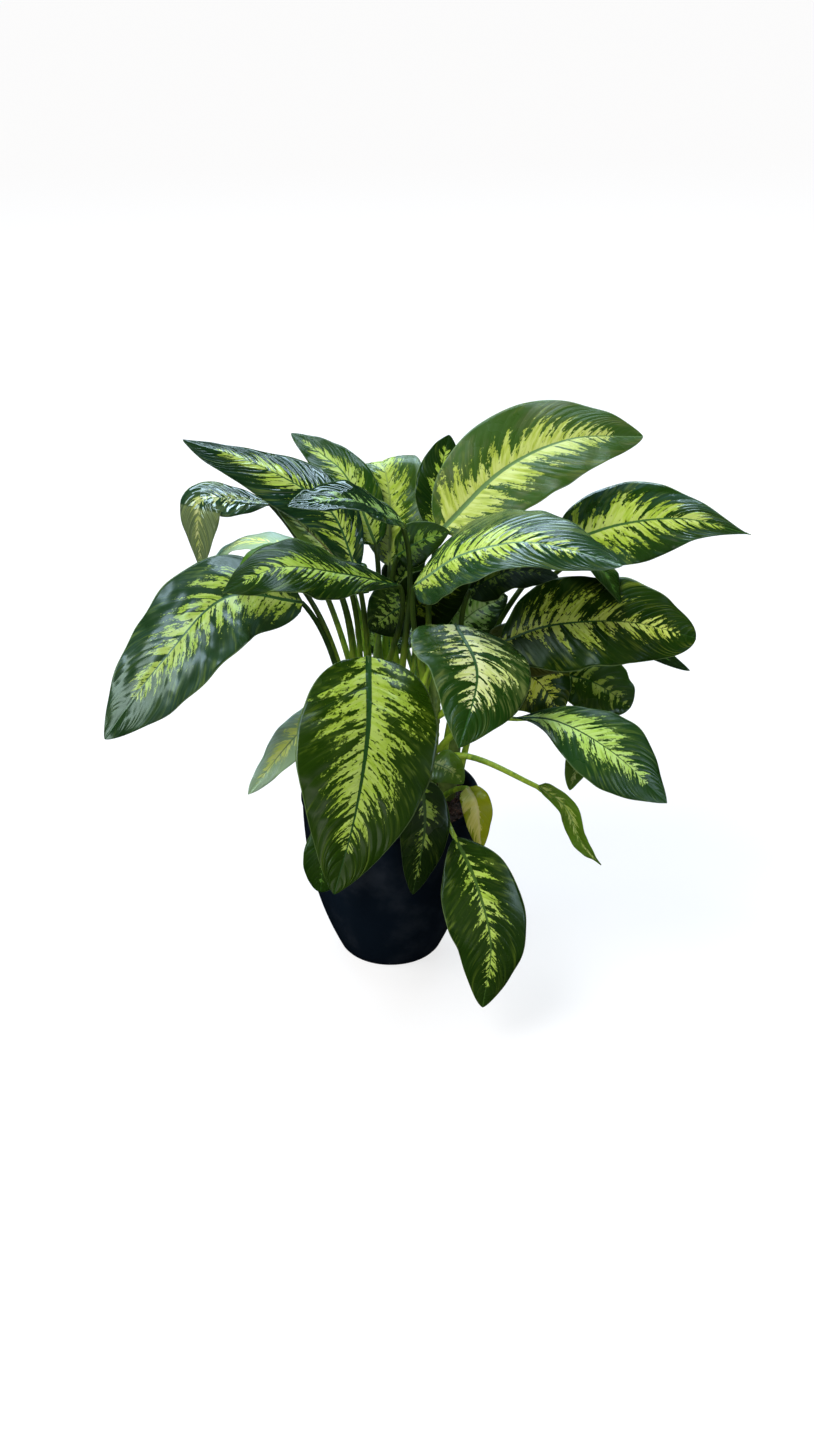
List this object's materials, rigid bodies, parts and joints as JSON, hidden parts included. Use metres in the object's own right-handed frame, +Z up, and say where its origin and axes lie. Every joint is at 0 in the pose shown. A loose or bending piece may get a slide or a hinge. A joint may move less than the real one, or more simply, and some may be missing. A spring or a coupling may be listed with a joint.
{
  "type": "potted dieffenbachia",
  "caption": "Potted dieffenbachia: broad green leaves with feathered lime centres on long stalks, grown on short canes standing in a bed of soil in a round dark plastic pot.",
  "frame": {"origin": "centre of the pot's foot, on the surface that the pot stands on", "axes": "+Z up, -Y towards the viewer (the plant's front), +X to the viewer's right; millimetre source, metres here"},
  "size_m": [0.6909, 0.4858, 0.627],
  "materials": {
    "pot_plastic": "satin",
    "potting_soil": "matte",
    "cane": "satin",
    "leaf": "gloss",
    "leaf_yellowing": "satin"
  },
  "bodies": {
    "root": {"pot": "pot_plastic", "soil": "potting_soil", "cane_left": "cane", "cane_front": "cane", "cane_right": "cane", "cane_back_right": "cane", "cane_side": "cane", "cane_back": "cane", "leaf_front_broad": "leaf", "leaf_left_long": "leaf", "leaf_left_folded": "leaf", "leaf_upper_left": "leaf", "leaf_top_left": "leaf", "leaf_back_centre": "leaf", "leaf_centre_narrow": "leaf", "leaf_back_pointed": "leaf", "leaf_low_left": "leaf", "leaf_top_right": "leaf", "leaf_centre_right": "leaf", "leaf_right_drooping": "leaf", "leaf_far_right": "leaf", "leaf_right_broad": "leaf", "leaf_right_under": "leaf", "leaf_low_right_inner": "leaf", "leaf_low_right": "leaf", "leaf_low_right_back": "leaf", "leaf_front_right": "leaf", "leaf_hanging_right": "leaf", "leaf_yellowing": "leaf_yellowing", "leaf_small_right": "leaf", "leaf_rim_front": "leaf", "leaf_rim_left": "leaf", "leaf_low_left_back": "leaf", "leaf_curled": "leaf", "leaf_hanging_tip": "leaf", "leaf_arching_left": "leaf", "leaf_behind_left": "leaf", "leaf_shaded_right": "leaf", "leaf_inner_right": "leaf", "leaf_inner_centre": "leaf", "leaf_inner_left": "leaf", "leaf_inner_low": "leaf", "leaf_inner_lime": "leaf", "leaf_inner_dark": "leaf", "leaf_right_inner": "leaf", "leaf_left_inner": "leaf", "leaf_rear_left": "leaf", "leaf_rear_middle": "leaf", "leaf_rear_right": "leaf", "leaf_rear_low_left": "leaf", "leaf_rear_low_right": "leaf"}
  },
  "joints": []
}
